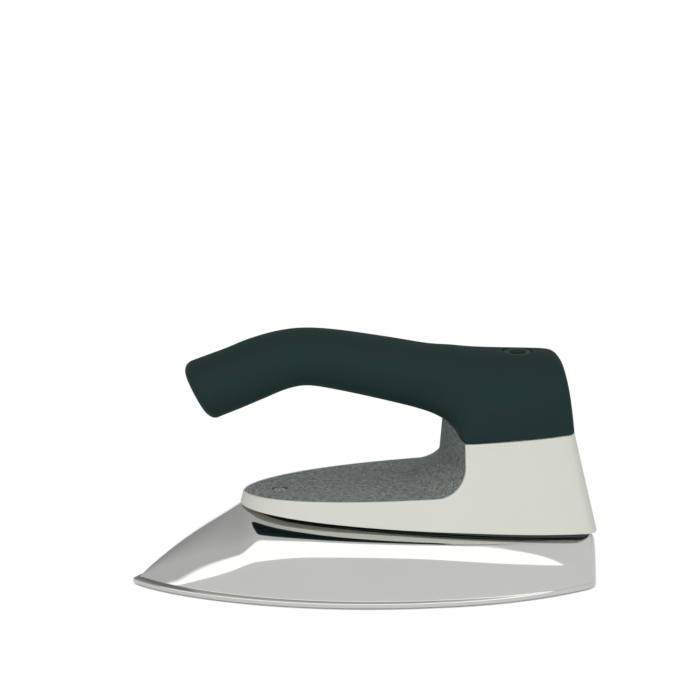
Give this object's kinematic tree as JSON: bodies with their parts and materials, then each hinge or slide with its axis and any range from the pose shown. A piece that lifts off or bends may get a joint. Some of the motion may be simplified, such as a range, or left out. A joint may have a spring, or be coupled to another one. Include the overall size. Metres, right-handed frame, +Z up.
{
  "type": "dry iron",
  "caption": "Dry iron with a polished pointed sole, a pale shell, a dark deck guard and a dark handle bar that is held at its rear and reaches forward over the deck.",
  "frame": {"origin": "centre of the overall box, at the level of the flat ironing face", "axes": "+X towards the heel, -X towards the tip, +Z up from the ironing face, +Y to the right of a user who holds the iron with its tip pointing away"},
  "size_m": [0.23, 0.1018, 0.1294],
  "materials": {
    "polished_metal": "mirror polished casting",
    "zinc_steel": "bright zinc plate",
    "dark_steel": "plain steel",
    "brass": "plain",
    "insulating_board": "dark pressed board",
    "ceramic": "off-white ceramic",
    "cover_enamel": "pale satin shell",
    "guard_texture": "fine pebbled grain",
    "soft_grip": "soft satin black",
    "rubber": "matt black",
    "phenolic": "moulded, dark brown",
    "red_plastic": "plain",
    "brown_lead": "insulated lead",
    "blue_lead": "insulated lead",
    "green_lead": "insulated lead",
    "white_lead": "insulated lead",
    "red_lead": "insulated lead"
  },
  "bodies": {
    "body": {"sole_plate": "polished_metal", "heating_element": "dark_steel", "element_bead_left": "ceramic", "element_bead_right": "ceramic", "element_clamp_front": "dark_steel", "element_clamp_rear": "dark_steel", "element_clamp_screw_front": "zinc_steel", "element_clamp_screw_rear": "zinc_steel", "temperature_sensor": "brass", "temperature_sensor_screw": "zinc_steel", "limiter_body": "phenolic", "limiter_strap": "dark_steel", "limiter_screw_left": "zinc_steel", "limiter_screw_right": "zinc_steel", "earth_tag": "brass", "earth_screw": "zinc_steel", "insulating_plate": "insulating_board", "heat_shield": "zinc_steel", "handle_bracket": "dark_steel", "bracket_screw_1": "zinc_steel", "bracket_screw_2": "zinc_steel", "bracket_screw_3": "zinc_steel", "bracket_screw_4": "zinc_steel", "bracket_spacer_1": "ceramic", "bracket_spacer_2": "ceramic", "bracket_spacer_3": "ceramic", "bracket_spacer_4": "ceramic", "handle_core": "dark_steel", "cord_clamp": "phenolic", "cord_clamp_screw_left": "zinc_steel", "cord_clamp_screw_right": "zinc_steel", "terminal_block": "phenolic", "terminal_block_screw": "zinc_steel", "terminal_screw_1": "brass", "terminal_screw_2": "brass", "terminal_screw_3": "brass", "terminal_screw_4": "brass", "live_lead": "brown_lead", "limiter_lead": "white_lead", "neutral_lead": "blue_lead", "earth_lead": "green_lead", "sensor_lead": "red_lead", "cover": "cover_enamel", "front_screw": "zinc_steel", "rear_screw_left": "zinc_steel", "rear_screw_right": "zinc_steel", "deck_guard": "guard_texture", "grip": "soft_grip", "cable_inlet_bush": "rubber"},
    "reset_button": {"limiter_reset_button": "red_plastic"}
  },
  "joints": [
    {"name": "reset_press", "type": "slide", "parent": "body", "child": "reset_button", "axis": [0, 0, -1], "range_m": [0, 0.0015], "stiffness_N_per_m": 400}
  ]
}
